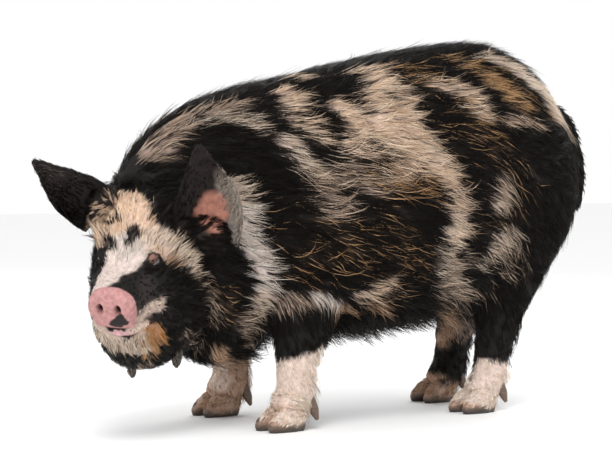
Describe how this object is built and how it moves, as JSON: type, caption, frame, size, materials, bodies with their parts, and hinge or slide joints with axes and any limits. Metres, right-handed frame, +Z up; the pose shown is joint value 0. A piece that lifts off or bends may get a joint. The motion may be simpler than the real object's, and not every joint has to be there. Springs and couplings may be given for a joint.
{
  "type": "kunekune pig",
  "caption": "Life-size standing Kunekune pig with a long bristly piebald coat, head lowered and turned to its left.",
  "frame": {"origin": "on the floor, under the middle of the animal's bounding box", "axes": "+Z up; the pig faces -X and its left side is -Y, so +X is its long axis towards the tail"},
  "size_m": [1.258, 0.4488, 0.7034],
  "materials": {
    "coat_black": "long black bristles with a soft sheen",
    "coat_ginger": "long ginger bristles with a soft sheen",
    "coat_pale": "short cream hair over pale skin",
    "skin_pink": "moist bare pink skin",
    "skin_dark": "dark skin under thin short hair",
    "horn": "worn horn, satin",
    "eye": "dark glossy eye"
  },
  "bodies": {
    "root": {"head": "coat_black", "snout": "skin_pink", "eye_left": "eye", "eye_right": "eye", "ear_left": "skin_dark", "ear_right": "skin_dark", "tassel_left": "skin_dark", "tassel_right": "skin_dark", "neck": "coat_black", "torso": "coat_ginger", "tail": "coat_black", "upper_leg_fore_left": "coat_black", "lower_leg_fore_left": "coat_pale", "claw_outer_fore_left": "horn", "claw_inner_fore_left": "horn", "dew_claw_outer_fore_left": "horn", "dew_claw_inner_fore_left": "horn", "upper_leg_fore_right": "coat_black", "lower_leg_fore_right": "coat_pale", "claw_outer_fore_right": "horn", "claw_inner_fore_right": "horn", "dew_claw_outer_fore_right": "horn", "dew_claw_inner_fore_right": "horn", "upper_leg_hind_left": "coat_black", "lower_leg_hind_left": "coat_pale", "claw_outer_hind_left": "horn", "claw_inner_hind_left": "horn", "dew_claw_outer_hind_left": "horn", "dew_claw_inner_hind_left": "horn", "upper_leg_hind_right": "coat_black", "lower_leg_hind_right": "coat_pale", "claw_outer_hind_right": "horn", "claw_inner_hind_right": "horn", "dew_claw_outer_hind_right": "horn", "dew_claw_inner_hind_right": "horn"}
  },
  "joints": []
}
